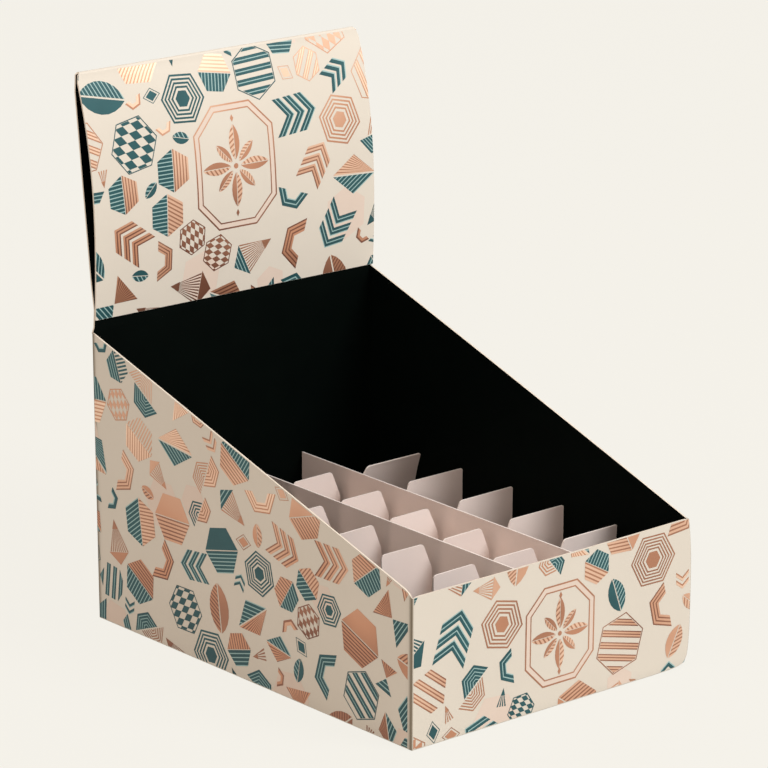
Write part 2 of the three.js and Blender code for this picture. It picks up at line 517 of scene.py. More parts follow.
@dataclass
class CartonForm:
    """Sizes of the folded carton and the formulas of its faces, in millimetres."""

    width: float = 112.0
    depth: float = 150.5
    front_height: float = 48.0
    rear_height: float = 95.0
    board: float = 0.5
    corner_radius: float = 0.5
    base_fold_radius: float = 0.4
    inner_fold_radius: float = 0.15
    front_corner_run: float = 1.8
    left_heights: tuple[float, float] = (48.7, 94.4)
    right_heights: tuple[float, float] = (47.4, 95.6)
    header_top: float = 174.2
    header_setback: float = 8.2
    header_hem: float = 96.9
    hem_setback: float = 0.2
    header_fold_radius: float = 0.6
    header_belly: float = 0.9
    header_overhang: float = 0.5
    header_corner: float = 2.6
    header_tilt: float = 1.2
    header_rows: int = 36
    front_bow: float = 0.45
    side_bow: float = 0.4
    corner_bulge: float = 1.4
    corner_rise: float = 1.5
    corner_rise_reach: float = 5.0
    corner_draw: float = 0.6
    rear_flare: float = 1.6
    flare_at_foot: float = 0.15
    fold_dip: float = 0.4
    lap: float = 0.02
    lap_drop: float = 0.4

    @property
    def half_width(self) -> float:
        """Half the box's width."""
        return self.width / 2

    @property
    def back(self) -> float:
        """Y of the back wall's outside; the front wall's is its opposite."""
        return self.depth / 2

    @property
    def fold_centre_z(self) -> float:
        """Height of the middle of the top fold."""
        return self.header_top - self.board / 2 - self.header_fold_radius

    @property
    def lean_start(self) -> float:
        """Height above which the header's back layer leans backwards."""
        return max(self.left_heights[1], self.right_heights[1]) + 0.3

    def wall_top(self, x: np.ndarray, y: np.ndarray) -> np.ndarray:
        """Height of the walls' top edges above a place in plan.

        Each side's edge is a straight line between its two heights, what lies between the sides
        is a straight blend of both, and the last stretch drops to the front wall's height.

        Args:
            x: places across the box.
            y: places along it.

        Returns:
            The heights.
        """
        along = np.clip((y + self.back) / self.depth, 0, 1)
        across = np.clip((x + self.half_width) / self.width, 0, 1)
        left, right = (
            front + (rear - front) * along for front, rear in (self.left_heights, self.right_heights)
        )
        sloped = left + (right - left) * across
        run = np.clip((y + self.back - self.board) / self.front_corner_run, 0, 1)
        return self.front_height + (sloped - self.front_height) * run

    def bend(self, points: np.ndarray) -> np.ndarray:
        """Bends the ideal carton into the folded one.

        With a and b the places across and along the box from -1 to 1, c = (1 + b) / 2 and h the
        share of the wall's height: the side walls bow out by a^5 (1 - b^2) h^2, the front wall by
        (1 - a^2) h^2 near the front, the left wall flares out towards the rear by
        h c^2 (1 - a)^2 / 4, and the front's right fold bulges by 1 - |2h - 1|^3 near that fold,
        each times its own size. The foot of that fold is drawn up and in, as a parabola over its
        reach, so that the corner there is round.

        Args:
            points: places (..., 3) on the ideal carton.

        Returns:
            The bent places.
        """
        x, y, z = np.moveaxis(points, -1, 0)
        a = np.clip(x / self.half_width, -1, 1)
        b = np.clip(y / self.back, -1, 1)
        rear = (1 + b) / 2
        rise = np.clip(z / self.wall_top(x, y), 0, 1)
        low_rise = np.clip(z / self.front_height, 0, 1)
        flare = np.interp(z, [0, self.rear_height, self.header_hem], [self.flare_at_foot, 1, 0])
        move_x = self.side_bow * a**5 * (1 - b**2) * rise**2
        move_x = move_x - self.rear_flare * flare * rear**2 * ((1 - a) / 2) ** 2
        fold = ((1 + a) / 2) ** 8 * (1 - rear) ** 10
        move_x = move_x + self.corner_bulge * (1 - np.abs(2 * low_rise - 1) ** 3) * fold
        move_y = -self.front_bow * (1 - a**2) * low_rise**2 * (1 - rear) ** 8
        foot = np.clip(1 - z / self.corner_rise_reach, 0, 1) ** 2
        drawn = self.corner_rise * foot * ((1 + a) / 2) ** 40 * (1 - rear) ** 40
        return np.stack([x + move_x - self.corner_draw * drawn, y + move_y, z + drawn], -1)

    def header_half(self, z: np.ndarray) -> np.ndarray:
        """Half the header's width at a height: straight edges that end in round top corners.

        Args:
            z: heights up to the header's top.

        Returns:
            Half the width at each.
        """
        radius = self.header_corner
        below = np.clip(radius - (self.header_top - z), 0, radius)
        inset = radius - np.sqrt(radius**2 - below**2)
        return self.half_width + self.header_overhang - inset

    def header_shift(self, x: np.ndarray) -> np.ndarray:
        """How much the header is raised on its left and lowered on its right."""
        return -self.header_tilt * x / self.half_width

    def header_front_y(self, z: np.ndarray) -> np.ndarray:
        """Y of the middle of the front layer's board.

        With s the share of the way up from the hem to the top fold, it is the hem's place plus
        the whole lean times s cubed, less the belly times the sine of half a turn of s.

        Args:
            z: heights between the hem and the top fold.

        Returns:
            The place along Y at each height.
        """
        share = (z - self.header_hem) / (self.fold_centre_z - self.header_hem)
        hem_y = self.back - 1.5 * self.board + self.hem_setback
        start_y = self.back + self.header_setback - self.header_fold_radius
        return hem_y + (start_y - hem_y) * share**3 - self.header_belly * np.sin(np.pi * share)

    def header_back_y(self, z: np.ndarray) -> np.ndarray:
        """Y of the middle of the back wall and of the header's back layer, straight and leaning."""
        wall = self.back - self.board / 2
        top = self.back + self.header_setback + self.header_fold_radius
        return np.interp(z, [self.lean_start, self.fold_centre_z], [wall, top])

    def header_zs(self) -> np.ndarray:
        """Heights of the rows of the header's front layer, from the hem to the top fold."""
        return np.linspace(self.header_hem, self.fold_centre_z, self.header_rows)


@dataclass
class Carton:
    """The one folded sheet: tray and header."""

    form: CartonForm
    wall_rows: int = 18
    arc_steps: int = 6
    point_spacing: float = 3.0
    header_columns: int = 29
    back_rows: int = 16
    crease_reach: float = 0.8
    crease_point: float = 0.45
    crowding: float = 0.6
    fold_arc_steps: int = 10
    overhang_rows: int = 3

    def outline(self) -> tuple[np.ndarray, np.ndarray, np.ndarray]:
        """The tray's outside in plan, walked counterclockwise from the front wall's left end.

        Returns:
            Points (n, 2), outward normals (n, 2) and each point's distance to the nearest fold.
        """
        form = self.form
        inset = form.corner_radius
        centres = np.array([[-1, -1], [1, -1], [1, 1], [-1, 1]], float)
        centres = centres * [form.half_width - inset, form.back - inset]
        points, normals, distance = [], [], []
        for side in range(4):
            angle = math.radians(-90 + 90 * side)
            normal = np.array([math.cos(angle), math.sin(angle)])
            start, end = centres[side], centres[(side + 1) % 4]
            length = float(np.linalg.norm(end - start))
            steps = max(int(length / self.point_spacing), 2)
            ease = np.linspace(0, 1, steps + 1)[:-1]
            share = self.crowding * (1 - np.cos(np.pi * ease)) / 2 + (1 - self.crowding) * ease
            beside = self.crease_point / length
            share = np.sort(np.append(share, [beside, 1 - beside]))[:, None]
            points.append(start + (end - start) * share + normal * inset)
            normals.append(np.repeat(normal[None], len(share), 0))
            distance.append(np.minimum(share[:, 0], 1 - share[:, 0]) * length)
            turn = angle + np.linspace(0, math.pi / 2, self.arc_steps + 1)[:-1]
            round_normals = np.stack([np.cos(turn), np.sin(turn)], -1)
            points.append(end + round_normals * inset)
            normals.append(round_normals)
            distance.append(np.zeros(len(turn)))
        return np.concatenate(points), np.concatenate(normals), np.concatenate(distance)

    def skin(self, offset: float) -> tuple[np.ndarray, np.ndarray]:
        """One face of the walls, from the edge of the base up to the cut top edge.

        Each column is a quarter circle at the base fold, z = r - r cos(a) and inset r - r sin(a),
        followed by a straight rise to the wall's top, bent as the form says.

        Args:
            offset: 0 for the outside, the board's thickness for the inside.

        Returns:
            Points (rows, columns, 3) and the painted shade of each column where a side wall meets a fold.
        """
        form = self.form
        plan, normal, distance = self.outline()
        radius = max(form.base_fold_radius - offset, form.inner_fold_radius)
        angle = np.linspace(0, math.pi / 2, self.arc_steps)[:, None]
        near = np.exp(-((distance / self.crease_reach) ** 2))
        top = form.wall_top(plan[:, 0], plan[:, 1]) - np.where(plan[:, 1] < 0, form.fold_dip, 0.0) * near
        low = offset + radius
        rise = np.linspace(0, 1, self.wall_rows)[1:, None]
        arc_shape = (len(angle), len(plan))
        arc_heights = np.broadcast_to(low - radius * np.cos(angle), arc_shape)
        arc_insets = np.broadcast_to(low - radius * np.sin(angle), arc_shape)
        heights = np.concatenate([arc_heights, low + (top[None] - low) * rise])
        insets = np.concatenate([arc_insets, np.full((len(rise), len(plan)), offset)])
        xy = plan[None] - normal[None] * insets[..., None]
        # The second result is painted shade: darkest on a side wall at its folds, fading away from them.
        return form.bend(np.concatenate([xy, heights[..., None]], -1)), near * np.abs(normal[:, 0])

    def build_tray(self, shell: Shell) -> None:
        """Adds the base and the four walls to the shell.

        Args:
            shell: the mesh being gathered.
        """
        (outer, near), (inner, _) = self.skin(0.0), self.skin(self.form.board)
        rows, columns = outer.shape[:2]
        quads = quads_of_grid(rows, columns, closed=True)
        # The outside carries the painted fold shade; the inside has none.
        starts = shell.add_points(outer, near[None]), shell.add_points(inner)
        ring = np.arange(columns)
        shell.add_faces(quads + starts[0], Skin.OUTSIDE.value)
        shell.add_faces(quads[:, ::-1] + starts[1], Skin.INSIDE.value)
        rim = (rows - 1) * columns + np.append(ring, 0)
        shell.add_strip(starts[0] + rim, starts[1] + rim)
        shell.add_faces((starts[0] + ring)[None, ::-1], Skin.OUTSIDE.value)
        shell.add_faces((starts[1] + ring)[None], Skin.INSIDE.value)

    def header_faces(self) -> list[np.ndarray]:
        """The header's two faces as grids, from the back wall over the fold to the hem.

        Each is the middle of the board, a line of (y, z) for every column, moved half the board's
        thickness and the lap to one side. The lowest row laps the back wall's top edge.

        Returns:
            The outer and the inner face, each (rows, columns, 3).
        """
        form = self.form
        share = np.linspace(-1, 1, self.header_columns)
        foot = form.wall_top(share * form.half_width, np.array(form.back)) - form.lap_drop
        up = np.linspace(0, 1, self.back_rows)[:, None]
        leaning = form.lean_start + (form.fold_centre_z - form.lean_start) * up
        back_z = np.concatenate([foot[None], np.broadcast_to(leaning, (len(up), len(foot)))])
        turn = np.linspace(0, math.pi, self.fold_arc_steps + 1)[1:-1, None]
        ones = np.ones(self.header_columns)
        fold_z = (form.fold_centre_z + form.header_fold_radius * np.sin(turn)) * ones
        fold_y = (form.back + form.header_setback + form.header_fold_radius * np.cos(turn)) * ones
        front_z = form.header_zs()[::-1, None] * ones
        z = np.concatenate([back_z, fold_z, front_z])
        y = np.concatenate([form.header_back_y(back_z), fold_y, form.header_front_y(front_z)])
        path = np.stack([y, z], -1)
        along = np.gradient(path, axis=0)
        along[0] = [0.0, 1.0]
        along /= np.linalg.norm(along, axis=-1, keepdims=True)
        across = np.stack([-along[..., 1], along[..., 0]], -1) * (form.board / 2 + form.lap)
        tilted = np.ones(len(z))
        tilted[: self.back_rows + 1] = np.append(0.0, up[:, 0])
        spread = np.clip(tilted * self.back_rows / self.overhang_rows, 0, 1)[:, None]
        x = share * (form.header_half(z) - form.header_overhang * (1 - spread))
        faces = []
        for side in (-1, 1):
            line = path + side * across
            height = line[..., 1] + form.header_shift(x) * tilted[:, None]
            faces.append(form.bend(np.stack([x, line[..., 0], height], -1)))
        return faces

    def build_header(self, shell: Shell) -> None:
        """Adds the header to the shell.

        Args:
            shell: the mesh being gathered.
        """
        faces = self.header_faces()
        rows, columns = faces[0].shape[:2]
        starts = [shell.add_points(face) for face in faces]
        quads = quads_of_grid(rows, columns)
        shell.add_faces(quads + starts[0], Skin.OUTSIDE.value)
        shell.add_faces(quads[:, ::-1] + starts[1], Skin.INSIDE.value)
        row, column = np.arange(rows), np.arange(columns)
        for border in (row * columns, (row + 1) * columns - 1, column, (rows - 1) * columns + column):
            shell.add_strip(starts[0] + border, starts[1] + border)

    def build(self) -> None:
        """Makes the carton in place of its plain solid."""
        shell = Shell("carton_board")
        self.build_tray(shell)
        self.build_header(shell)
        piece = add_to_scene(shell.make([COATED.make(), LINING.make(), CUT_EDGE.make()]))
        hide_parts("carton")


# Flat figures


@dataclass
class Polygons:
    """Convex polygons of one ink: corners (n, k, 2), each row filled up with its last corner."""

    points: np.ndarray
    tone: np.ndarray

    @staticmethod
    def of(points: np.ndarray, tone: float = 0.0) -> "Polygons":
        """Polygons (n, k, 2) that share one tone."""
        points = np.asarray(points, float)
        return Polygons(points, np.full(len(points), tone))

    @staticmethod
    def join(parts: Sequence["Polygons"]) -> "Polygons":
        """All the polygons of several batches in one.

        Args:
            parts: the batches, empty ones too.

        Returns:
            One batch, its rows filled up to the longest.
        """
        parts = [p for p in parts if len(p.points)]
        if not parts:
            return Polygons(np.zeros((0, 3, 2)), np.zeros(0))
        most = max(p.points.shape[1] for p in parts)
        padded = [
            np.concatenate([p.points, np.repeat(p.points[:, -1:], most - p.points.shape[1], 1)], 1)
            for p in parts
        ]
        return Polygons(np.concatenate(padded), np.concatenate([p.tone for p in parts]))

    def placed(self, centre: np.ndarray, size: float, turn: float, paler: float = 0.0) -> "Polygons":
        """The same figures elsewhere.

        Args:
            centre: where their origin goes.
            size: how much larger they are.
            turn: how far they are turned.
            paler: what is added to their tone.

        Returns:
            The figures in their place.
        """
        cos, sin = math.cos(turn), math.sin(turn)
        turned = self.points @ np.array([[cos, sin], [-sin, cos]])
        return Polygons(turned * size + centre, self.tone + paler)

    def fresh(self, tolerance: float) -> np.ndarray:
        """Which corners (n, k) differ from the one before by more than the tolerance."""
        return ~np.all(np.isclose(self.points, np.roll(self.points, 1, 1), atol=tolerance), -1)

    def clip(self, normal: np.ndarray, limit: float) -> "Polygons":
        """Keeps what lies where the product with normal is at most limit.

        Every edge is taken at once: a corner inside stays, an edge that crosses the line gives
        its crossing, and the kept corners are moved together in their order.

        Args:
            normal: the direction (2,) that points out of the kept side.
            limit: where the line is along it.

        Returns:
            The cut polygons, without those that vanish.
        """
        gap = self.points @ normal - limit
        next_point, next_gap = np.roll(self.points, -1, 1), np.roll(gap, -1, 1)
        inside = gap <= 0
        crosses = inside != (next_gap <= 0)
        share = gap / np.where(crosses, gap - next_gap, 1.0)
        crossing = self.points + share[..., None] * (next_point - self.points)
        repeated = ~self.fresh(1e-9)
        count, corners = gap.shape
        candidates = np.stack([self.points, crossing], 2).reshape(count, 2 * corners, 2)
        kept = np.stack([inside & ~repeated, crosses], 2).reshape(count, 2 * corners)
        order = np.argsort(~kept, axis=1, kind="stable")
        total = kept.sum(1)
        alive = total >= 3
        width = int(total.max(initial=3))
        pick = np.minimum(np.arange(width)[None], np.maximum(total - 1, 0)[:, None])
        index = np.take_along_axis(order, pick, 1)
        points = np.take_along_axis(candidates, index[..., None], 1)
        return Polygons(points[alive], self.tone[alive])

    def within(self, outline: np.ndarray) -> "Polygons":
        """Keeps what lies inside an outline.

        Args:
            outline: its corners (m, 2), convex and walked counterclockwise.

        Returns:
            The cut polygons.
        """
        kept = self
        for start, end in zip(outline, np.roll(outline, -1, 0)):
            edge = end - start
            normal = np.array([edge[1], -edge[0]]) / np.linalg.norm(edge)
            kept = kept.clip(normal, float(start @ normal))
        return kept

    def sliced(self, places: Sequence[float], axis: int) -> "Polygons":
        """Cuts every polygon along some values of one coordinate.

        Args:
            places: the values, rising.
            axis: 0 for the first coordinate, 1 for the second.

        Returns:
            All the slices.
        """
        if not len(places):
            return self
        out = np.eye(2)[axis]
        parts = [self.clip(out, float(places[0]))]
        for low, high in zip(places[:-1], places[1:]):
            parts.append(self.clip(-out, -float(low)).clip(out, float(high)))
        parts.append(self.clip(-out, -float(places[-1])))
        return Polygons.join(parts)

    def sound(self, least: float = 2e-4) -> "Polygons":
        """Keeps the polygons with at least the given area, by the shoelace formula."""
        x, y = self.points[..., 0], self.points[..., 1]
        area = (x * np.roll(y, -1, 1) - np.roll(x, -1, 1) * y).sum(1) / 2
        return Polygons(self.points[area > least], self.tone[area > least])

    def laid_out(self) -> tuple[np.ndarray, np.ndarray, np.ndarray]:
        """The polygons without their repeated corners.

        Returns:
            The corners (m, 2) one polygon after another, the tone at each, and each polygon's count.
        """
        fresh = self.fresh(SAME_PLACE)
        fresh &= (fresh.sum(1) >= 3)[:, None]
        counts = fresh.sum(1)
        return self.points[fresh], np.repeat(self.tone, counts), counts[counts > 0]


def mesh_of_runs(name: str, points: np.ndarray, counts: np.ndarray) -> bpy.types.Mesh:
    """A mesh of polygons whose corners follow one another.

    Args:
        name: the mesh's name.
        points: the corners (n, 3) in millimetres.
        counts: how many of them each polygon has.

    Returns:
        The new mesh.
    """
    mesh = bpy.data.meshes.new(name)
    ends = np.cumsum(counts).tolist()
    faces = [list(range(end - count, end)) for end, count in zip(ends, counts.tolist())]
    mesh.from_pydata((points * MM).tolist(), [], faces)
    return mesh


def regular(sides: int, radius: float = 1.0) -> np.ndarray:
    """Corners of a regular polygon, the first to the right."""
    angle = np.arange(sides) * 2 * np.pi / sides
    return radius * np.stack([np.cos(angle), np.sin(angle)], -1)


def rectangle(left: float, low: float, right: float, high: float) -> np.ndarray:
    """Corners of a rectangle, counterclockwise."""
    return np.array([[left, low], [right, low], [right, high], [left, high]])


def lozenge_outline(half_width: float) -> np.ndarray:
    """Corners of an upright lozenge from (0, -1) to (0, 1)."""
    return np.array([[half_width, 0.0], [0.0, 1.0], [-half_width, 0.0], [0.0, -1.0]])


def leaf_outline(width: float, steps: int = 9) -> np.ndarray:
    """A pointed leaf from (0, -1) to (0, 1): two circular arcs that meet at both tips.

    Args:
        width: half the leaf's greatest width.
        steps: how many points each arc has.

    Returns:
        The outline.
    """
    radius = (1 + width**2) / (2 * width)
    reach = math.asin(1 / radius)
    angle = np.linspace(-reach, reach, steps)
    right = np.stack([radius * np.cos(angle) - (radius - width), radius * np.sin(angle)], -1)
    return np.concatenate([right, -right[1:-1]])


class InkName(Enum):
    """The inks and the foil of the print."""

    COPPER = "copper_foil_print"
    TEAL = "teal_print"
    MIST = "mist_print"
    BLUSH = "blush_print"


Figure = list[tuple[InkName, Polygons]]


@dataclass(frozen=True)
class Stroke:
    """One stretch of a repeating line pattern: its width, its ink, none for bare board, and tone."""

    width: float
    ink: InkName | None = None
    tone: float = 0.0


@dataclass(frozen=True)
class Hatch:
    """A pattern of strokes that repeats over a figure, about every pitch millimetres."""

    strokes: tuple[Stroke, ...]
    pitch: float

    def spread(self, length: float) -> tuple[np.ndarray, np.ndarray, list[Stroke]]:
        """The pattern over a length in millimetres.

        Args:
            length: how long the stretch is that it fills.

        Returns:
            Each stroke's start and end as shares of the length, and the strokes.
        """
        count = max(int(round(length / self.pitch)), 1)
        widths = np.tile([s.width for s in self.strokes], count)
        ends = np.cumsum(widths) / widths.sum()
        return ends - widths / widths.sum(), ends, list(self.strokes) * count


def inked(shapes: np.ndarray, strokes: Sequence[Stroke]) -> Figure:
    """Sorts shapes by ink.

    Args:
        shapes: the shapes (n, k, 2).
        strokes: the stroke that each belongs to.

    Returns:
        The shapes of each ink, without those on bare board.
    """
    figure = []
    for ink in InkName:
        chosen = [k for k, stroke in enumerate(strokes) if stroke.ink is ink]
        if chosen:
            figure.append((ink, Polygons(shapes[chosen], np.array([strokes[k].tone for k in chosen]))))
    return figure


def kept_within(figure: Figure, outline: np.ndarray) -> Figure:
    """The part of a figure inside a convex outline."""
    return [(ink, shapes.within(outline)) for ink, shapes in figure]


def moved(figure: Figure, centre: Sequence[float], turn: float = 0.0) -> Figure:
    """A figure turned and moved to a centre."""
    return [(ink, shapes.placed(np.array(centre), 1.0, turn)) for ink, shapes in figure]


FOIL, INK, PALE = InkName.COPPER, InkName.TEAL, InkName.MIST
FOIL_LINES = Hatch((Stroke(0.40, FOIL, -0.26), Stroke(0.60, FOIL, 0.22)), 1.15)
FOIL_OPEN = Hatch((Stroke(0.46, FOIL, -0.12), Stroke(0.54)), 1.1)
DARK_LINE, PALE_LINE = Stroke(0.4, FOIL, -0.28), Stroke(0.55, FOIL, 0.24)
FOIL_BANDS = Hatch((DARK_LINE, PALE_LINE, DARK_LINE, PALE_LINE, DARK_LINE, Stroke(1.7)), 4.0)
INK_LINES = Hatch((Stroke(0.74, INK), Stroke(0.26, PALE)), 1.25)
INK_OPEN = Hatch((Stroke(0.52, INK), Stroke(0.48)), 1.15)
INK_BANDS = Hatch((Stroke(0.9, INK), Stroke(0.3, PALE), Stroke(0.9, INK), Stroke(1.5)), 3.6)


@dataclass(frozen=True)
class Palette:
    """The hatches and the solid of one ink, and those of the other for figures in two inks."""

    solid: InkName
    lines: Hatch
    open_lines: Hatch
    bands: Hatch


COPPER_SET = Palette(FOIL, FOIL_LINES, FOIL_OPEN, FOIL_BANDS)
TEAL_SET = Palette(INK, INK_LINES, INK_OPEN, INK_BANDS)


class Motif(Enum):
    """The figures of the print."""

    BANDED_HEXAGON = 0
    NESTED_HEXAGON = 1
    CHECKED_HEXAGON = 2
    HALVES = 3
    HALF_NEST = 4
    LOZENGE = 5
    KITE = 6
    HOURGLASS = 7
    LEAF = 8
    CHEVRONS = 9
    RIBBON = 10
    SPIRE = 11
    DIAMOND = 12
    TICKS = 13


LARGE = (Motif.BANDED_HEXAGON, Motif.NESTED_HEXAGON, Motif.CHECKED_HEXAGON, Motif.HALVES, Motif.HALF_NEST,
         Motif.LOZENGE, Motif.KITE, Motif.HOURGLASS, Motif.LEAF, Motif.BANDED_HEXAGON, Motif.HALVES,
         Motif.CHEVRONS, Motif.RIBBON)
SMALL = (Motif.RIBBON, Motif.SPIRE, Motif.LEAF, Motif.TICKS, Motif.RIBBON, Motif.DIAMOND)


@dataclass
class FigureMaker:
    """Draws figures inside a circle of radius 1, in a main ink and some partly in the other one.

    Scale is the circle's radius in millimetres, which sets how many lines a figure has.
    """

    rng: np.random.Generator
    scale: float = 8.0
    foil_share: float = 0.62
    flat_reach: float = 0.87
    gap: float = 0.03
    narrow_gap: float = 0.02
    line: float = 0.32
    arrow_slope: float = 0.8
    main: Palette = COPPER_SET
    other: Palette = TEAL_SET

    def draw(self, motif: Motif, scale: float) -> Figure:
        """One figure with its inks drawn at random.

        Args:
            motif: which figure it is.
            scale: its circle's radius in millimetres.

        Returns:
            The figure.
        """
        self.scale = scale
        foil = self.rng.random() < self.foil_share
        self.main, self.other = (COPPER_SET, TEAL_SET) if foil else (TEAL_SET, COPPER_SET)
        return getattr(self, motif.name.lower())()

    def ruled(self, outline: np.ndarray, hatch: Hatch, turn: float = 0.0) -> Figure:
        """An outline filled with straight strokes.

        Args:
            outline: the convex outline, counterclockwise.
            hatch: the pattern.
            turn: the direction of the strokes.

        Returns:
            The strokes, cut to the outline.
        """
        across = np.array([-math.sin(turn), math.cos(turn)])
        reach = outline @ across
        low, high = float(reach.min()), float(reach.max())
        starts, ends, strokes = hatch.spread((high - low) * self.scale)
        start, end = ((low + (high - low) * share)[:, None] * across for share in (starts, ends))
        far = 1.5 * np.array([math.cos(turn), math.sin(turn)])
        bands = np.stack([start - far, start + far, end + far, end - far], 1)
        return kept_within(inked(bands, strokes), outline)

    def rays(self, outline: np.ndarray, hatch: Hatch) -> Figure:
        """An outline filled with wedges that spread from its first corner.

        Args:
            outline: the convex outline, counterclockwise.
            hatch: the pattern across the wedges.

        Returns:
            The wedges, cut to the outline.
        """
        first, last = outline[1] - outline[0], outline[-1] - outline[0]
        begin = math.atan2(first[1], first[0])
        swing = (math.atan2(last[1], last[0]) - begin) % (2 * math.pi)
        length = max(float(np.linalg.norm(first)), float(np.linalg.norm(last)))
        starts, ends, strokes = hatch.spread(swing * length * self.scale)
        edges = [begin + swing * share for share in (starts, ends)]
        spokes = [outline[0] + 4.0 * np.stack([np.cos(edge), np.sin(edge)], -1) for edge in edges]
        tips = np.repeat(outline[:1], len(starts), 0)
        return kept_within(inked(np.stack([tips, *spokes], 1), strokes), outline)

    def rings(self, outline: np.ndarray, hatch: Hatch, inner: float = 0.0) -> Figure:
        """Bands between copies of an outline about the origin.

        Args:
            outline: the outline, counterclockwise.
            hatch: the pattern from the outside inwards.
            inner: the size of the smallest copy.

        Returns:
            The bands.
        """
        starts, ends, strokes = hatch.spread((1 - inner) * self.scale * self.flat_reach)
        after = np.roll(outline, -1, 0)
        quads = []
        for start, end in zip(1 - (1 - inner) * starts, 1 - (1 - inner) * ends):
            quads.append(np.stack([outline * start, after * start, after * end, outline * end], 1))
        return inked(np.concatenate(quads), [stroke for stroke in strokes for _ in outline])

    def solid(self, outline: np.ndarray, tone: float = 0.0) -> Figure:
        """An outline in the main ink all over."""
        return [(self.main.solid, Polygons.of(outline[None], tone))]

    def frame(self, outline: np.ndarray) -> Figure:
        """A thin line of the main ink just inside an outline about the origin."""
        inner = outline * (1 - self.line / self.scale / self.flat_reach)
        quads = np.stack([outline, np.roll(outline, -1, 0), np.roll(inner, -1, 0), inner], 1)
        return [(self.main.solid, Polygons.of(quads, -0.25))]

    def slanted(self, height: float, depth: float, spread: float) -> Figure:
        """One arrow head of two slanted bars, ruled along themselves.

        Args:
            height: where its point is.
            depth: how deep a bar is.
            spread: how far it reaches to each side.

        Returns:
            The arrow head.
        """
        drop = spread * self.arrow_slope
        right = np.array([[0.0, height], [spread, height - drop],
                          [spread, height + depth - drop], [0.0, height + depth]])
        left = right[::-1] * [-1, 1]
        turn = math.atan2(-self.arrow_slope, 1.0)
        return self.ruled(right, self.main.lines, turn) + self.ruled(left, self.main.lines, -turn)

    def banded_hexagon(self) -> Figure:
        """A hexagon of broad bands, some in a thin frame."""
        outline = regular(6)
        figure = self.ruled(outline * 0.94, self.main.bands, math.pi / 6 * int(self.rng.integers(6)))
        return figure + (self.frame(outline) if self.rng.random() < 0.4 else [])

    def nested_hexagon(self) -> Figure:
        """Hexagons one inside another round a solid one."""
        return self.rings(regular(6), self.main.open_lines, 0.36) + self.solid(regular(6, 0.33))

    def checked_hexagon(self) -> Figure:
        """A hexagon of small lozenges, every other one filled.

        Returns:
            The figure.
        """
        cells = 3
        count = np.arange(-2 * cells, 2 * cells + 1, 2)
        step = np.array([0.5, self.flat_reach]) / cells
        centres = np.stack(np.meshgrid(count, count, indexing="ij"), -1).reshape(-1, 1, 2) * step
        lozenges = Polygons.of(centres + lozenge_outline(1.0) * step, -0.12).within(regular(6, 0.95))
        return [(self.main.solid, lozenges)] + self.frame(regular(6))

    def halves(self) -> Figure:
        """A hexagon in two halves: one ruled, the other solid or ruled across in the other ink.

        Returns:
            The figure.
        """
        shift = [0, self.narrow_gap]
        upper, lower = regular(6, 0.98)[:4] + shift, regular(6, 0.98)[[3, 4, 5, 0]] - shift
        figure = self.ruled(upper, self.main.lines, math.pi / 3 * int(self.rng.integers(3)))
        choice = self.rng.random()
        if choice < 0.4:
            return figure + self.solid(lower, 0.1)
        hatch = self.other.lines if choice < 0.75 else self.main.open_lines
        return figure + self.ruled(lower, hatch, math.pi / 2)

    def half_nest(self) -> Figure:
        """Two half hexagons back to back, ringed and set apart by a step.

        Returns:
            The figure.
        """
        shift, half = np.array([0.22, self.gap]), regular(6, 0.8)[:4]
        upper = moved(self.rings(half, self.main.lines), shift)
        pair = self.main if self.rng.random() < 0.5 else self.other
        return upper + moved(self.rings(half, pair.open_lines), -shift, math.pi)

    def lozenge(self) -> Figure:
        """A lozenge, one half with rays and the other ruled along its side.

        Returns:
            The figure.
        """
        foot, right, top, left = lozenge_outline(0.72)[[3, 0, 1, 2]]
        gap = np.array([self.gap, 0.0])
        figure = self.rays(np.stack([foot, right, top]) + gap, self.main.lines)
        turn = math.atan2(top[1], left[0])
        return figure + self.ruled(np.stack([top, left, foot]) - gap, self.other.lines, turn)

    def kite(self) -> Figure:
        """A kite: open rays from its foot below, and a cap above, solid or ruled.

        Returns:
            The figure.
        """
        foot, right, top, left = np.array([[0.0, -1.0], [0.68, 0.42], [0.0, 0.98], [-0.68, 0.42]])
        body = np.stack([foot, right, left])
        figure = self.rays(body, self.main.open_lines) + self.solid(foot + (body - foot) * 0.3, -0.1)
        cap = np.stack([right, top, left]) + [0, self.narrow_gap]
        return figure + (self.solid(cap) if self.rng.random() < 0.5 else self.ruled(cap, self.other.lines))

    def hourglass(self) -> Figure:
        """Two triangles tip to tip, in the two inks."""
        upper = np.array([[0.0, self.narrow_gap], [0.66, 0.78], [-0.66, 0.78]])
        return self.rays(upper, self.main.lines) + self.ruled(-upper, self.other.lines)

    def leaf(self) -> Figure:
        """A leaf, solid on one side of its rib and with slanted veins on the other.

        Returns:
            The figure.
        """
        outline, side = leaf_outline(0.56), np.array([1.0, 0.0])
        solid = [(ink, p.clip(-side, -self.gap)) for ink, p in self.solid(outline, 0.08)]
        veins = self.ruled(outline, self.main.lines, math.radians(38))
        return solid + [(ink, p.clip(side, -self.gap)) for ink, p in veins]

    def chevrons(self) -> Figure:
        """Three arrow heads one above another."""
        return [part for height in (-0.38, 0.09, 0.56) for part in self.slanted(height, 0.34, 0.64)]

    def ribbon(self) -> Figure:
        """Half of a hexagonal ring, ruled along itself."""
        return moved(self.rings(regular(6)[:4], self.main.lines, 0.5), (0.0, -0.4))

    def spire(self) -> Figure:
        """A slim triangle of rays with a solid tip."""
        body = np.array([[0.0, -0.95], [0.62, 0.7], [-0.62, 0.7]])
        return self.rays(body, self.main.open_lines) + self.solid(body[0] + (body - body[0]) * 0.4)

    def diamond(self) -> Figure:
        """A small lozenge in a thin frame."""
        return self.frame(lozenge_outline(0.72)) + self.solid(lozenge_outline(0.72) * 0.66)

